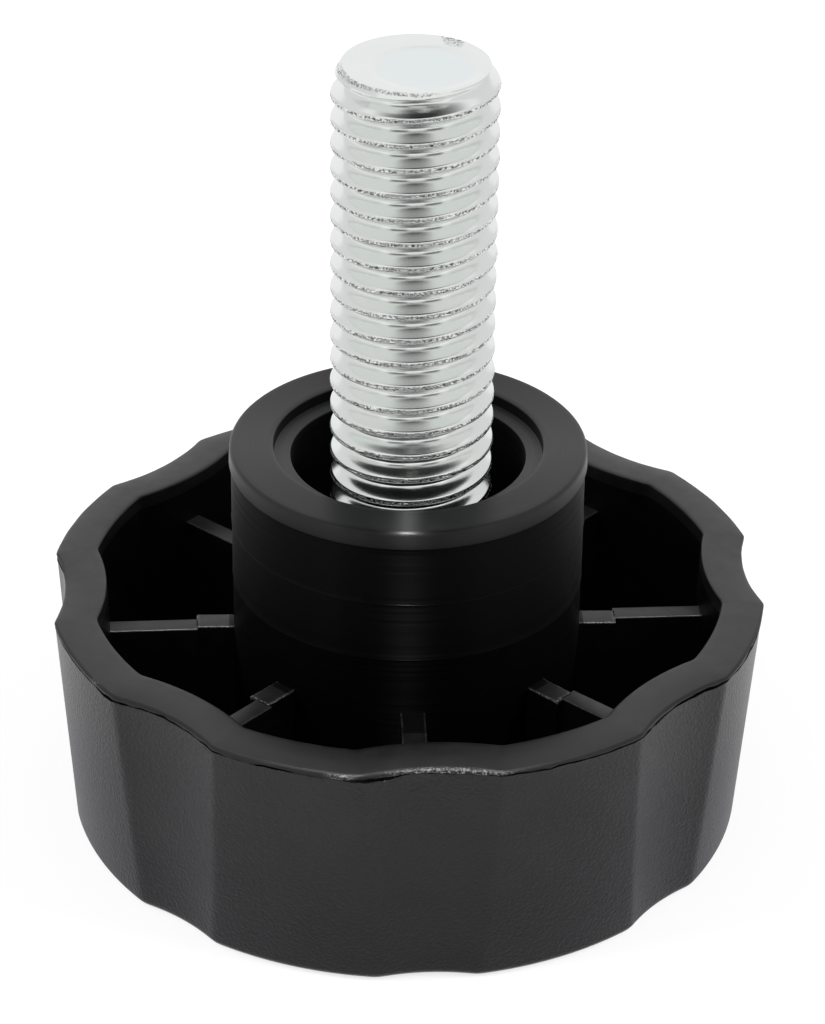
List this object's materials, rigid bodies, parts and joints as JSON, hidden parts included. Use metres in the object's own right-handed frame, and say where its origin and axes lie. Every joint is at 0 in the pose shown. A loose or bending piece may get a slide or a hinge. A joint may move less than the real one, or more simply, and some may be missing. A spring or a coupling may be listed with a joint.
{
  "type": "fluted hand knob",
  "caption": "Fluted hand knob moulded in black plastic, hollow and ribbed behind its grip, with a zinc-plated threaded stud standing out of its hub.",
  "frame": {"origin": "centre of the crown's flat face", "axes": "+Z along the stud, towards its tip; +X through the middle of a flute"},
  "size_m": [0.035, 0.035, 0.04],
  "materials": {
    "body_plastic": "black, with a fine spark-eroded grain on the grip and a smooth satin rim, ribs and hub",
    "stud_zinc": "rolled steel thread with bright zinc plate"
  },
  "bodies": {
    "root": {"knob_body": "body_plastic", "threaded_stud": "stud_zinc"}
  },
  "joints": []
}
